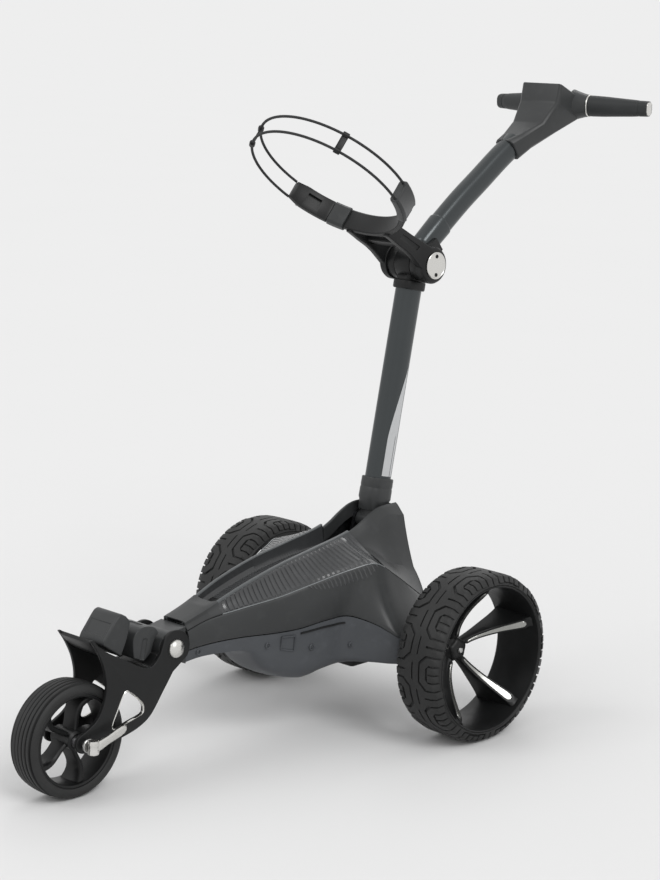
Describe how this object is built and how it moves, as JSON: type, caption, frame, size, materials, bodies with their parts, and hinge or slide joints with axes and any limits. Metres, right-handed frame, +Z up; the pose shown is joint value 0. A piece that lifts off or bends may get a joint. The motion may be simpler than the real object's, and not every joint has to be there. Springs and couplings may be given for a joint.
{
  "type": "electric golf trolley",
  "caption": "Three-wheeled powered golf bag trolley with folding front bracket, moulded drive body, hinged mast and handle, and a bag ring.",
  "frame": {"origin": "on the ground, under the middle of the trolley's bounding box", "axes": "+Z up; the front wheel points along -Y and the handle along +Y; +X is the trolley's left side and runs along the wheel axles"},
  "size_m": [0.59, 1.3012, 1.0654],
  "materials": {
    "black_plastic": "moulded satin black",
    "charcoal_plastic": "moulded dark grey, fine grain",
    "casing_plastic": "blue-grey moulded, satin",
    "carbon_trim": "ribbed semi-gloss",
    "tyre_rubber": "moulded tread, matt",
    "soft_rubber": "soft-touch",
    "graphite_metal": "metallic graphite lacquer",
    "satin_metal": "satin silver",
    "steel": "machined",
    "screen_glass": "glossy black window",
    "dark_metal": "dark anodised"
  },
  "bodies": {
    "chassis": {"channel_liner": "carbon_trim", "lower_casing": "casing_plastic", "left_carbon_trim": "carbon_trim", "right_carbon_trim": "carbon_trim", "left_side_panel": "charcoal_plastic", "right_side_panel": "charcoal_plastic", "rear_cowl": "charcoal_plastic", "nose_casting": "charcoal_plastic", "spine_beam": "dark_metal", "mast_bracket": "dark_metal", "mast_pivot_pin": "steel", "battery_pack": "black_plastic", "gearbox_housing": "dark_metal", "drive_motor": "steel", "motor_controller": "black_plastic", "drive_cover": "black_plastic", "left_axle_bearing": "steel", "right_axle_bearing": "steel"},
    "left_wheel": {"left_tyre": "tyre_rubber", "left_rim": "black_plastic", "left_half_axle": "steel"},
    "right_wheel": {"right_tyre": "tyre_rubber", "right_rim": "black_plastic", "right_half_axle": "steel"},
    "front_bracket": {"left_fork_plate": "black_plastic", "right_fork_plate": "black_plastic", "left_pivot_cap": "satin_metal", "right_pivot_cap": "satin_metal", "pivot_bolt": "steel", "bag_cradle": "black_plastic", "bag_stop_block": "charcoal_plastic", "latch_housing": "charcoal_plastic", "front_axle_bolt": "steel"},
    "front_wheel": {"front_tyre": "tyre_rubber", "front_rim": "black_plastic", "front_bearing_sleeve": "steel"},
    "quick_release": {"quick_release_lever": "satin_metal"},
    "mast": {"mast_foot": "charcoal_plastic", "mast_tube": "graphite_metal", "mast_head": "black_plastic", "hinge_bolt": "steel", "left_hinge_disc": "satin_metal", "right_hinge_disc": "satin_metal"},
    "upper_arm": {"arm_collar": "black_plastic", "arm_tube": "graphite_metal", "handle_head": "charcoal_plastic", "display_screen": "screen_glass", "left_grip": "soft_rubber", "right_grip": "soft_rubber"},
    "speed_dial": {"speed_dial": "satin_metal"},
    "power_button": {"power_button": "soft_rubber"},
    "left_menu_key": {"left_menu_key": "soft_rubber"},
    "right_menu_key": {"right_menu_key": "soft_rubber"},
    "bag_support": {"bag_yoke": "black_plastic", "left_arm_cover": "charcoal_plastic", "right_arm_cover": "charcoal_plastic", "strap_buckle": "black_plastic", "upper_strap_cord": "soft_rubber", "lower_strap_cord": "soft_rubber"}
  },
  "joints": [
    {"name": "left_wheel_spin", "type": "hinge", "parent": "chassis", "child": "left_wheel", "pos_m": [0.248, 0.1014, 0.1425], "axis": [1, 0, 0], "continuous": true},
    {"name": "right_wheel_spin", "type": "hinge", "parent": "chassis", "child": "right_wheel", "pos_m": [-0.248, 0.1014, 0.1425], "axis": [1, 0, 0], "continuous": true},
    {"name": "front_fold", "type": "hinge", "parent": "chassis", "child": "front_bracket", "pos_m": [0, -0.3724, 0.2052], "axis": [1, 0, 0], "range_deg": [0, 80]},
    {"name": "front_wheel_spin", "type": "hinge", "parent": "front_bracket", "child": "front_wheel", "pos_m": [0, -0.5586, 0.092], "axis": [1, 0, 0], "continuous": true},
    {"name": "quick_release_swing", "type": "hinge", "parent": "front_bracket", "child": "quick_release", "pos_m": [0.064, -0.5586, 0.092], "axis": [0, 0, -1], "range_deg": [0, 120]},
    {"name": "mast_fold", "type": "hinge", "parent": "chassis", "child": "mast", "pos_m": [0, 0.1135, 0.325], "axis": [1, 0, 0], "range_deg": [0, 70]},
    {"name": "arm_fold", "type": "hinge", "parent": "mast", "child": "upper_arm", "pos_m": [0, 0.2099, 0.766], "axis": [-1, 0, 0], "range_deg": [0, 60]},
    {"name": "bag_support_tilt", "type": "hinge", "parent": "mast", "child": "bag_support", "pos_m": [0, 0.2099, 0.766], "axis": [1, 0, 0], "range_deg": [0, 25]},
    {"name": "speed_dial_turn", "type": "hinge", "parent": "upper_arm", "child": "speed_dial", "pos_m": [0, 0.6159, 1.032], "axis": [0, 0.4174, 0.9087], "continuous": true},
    {"name": "power_button_press", "type": "slide", "parent": "upper_arm", "child": "power_button", "axis": [0, -0.4174, -0.9087], "range_m": [0, 0.0015], "stiffness_N_per_m": 900},
    {"name": "left_menu_key_press", "type": "slide", "parent": "upper_arm", "child": "left_menu_key", "axis": [0, -0.4174, -0.9087], "range_m": [0, 0.0012], "stiffness_N_per_m": 900},
    {"name": "right_menu_key_press", "type": "slide", "parent": "upper_arm", "child": "right_menu_key", "axis": [0, -0.4174, -0.9087], "range_m": [0, 0.0012], "stiffness_N_per_m": 900}
  ]
}
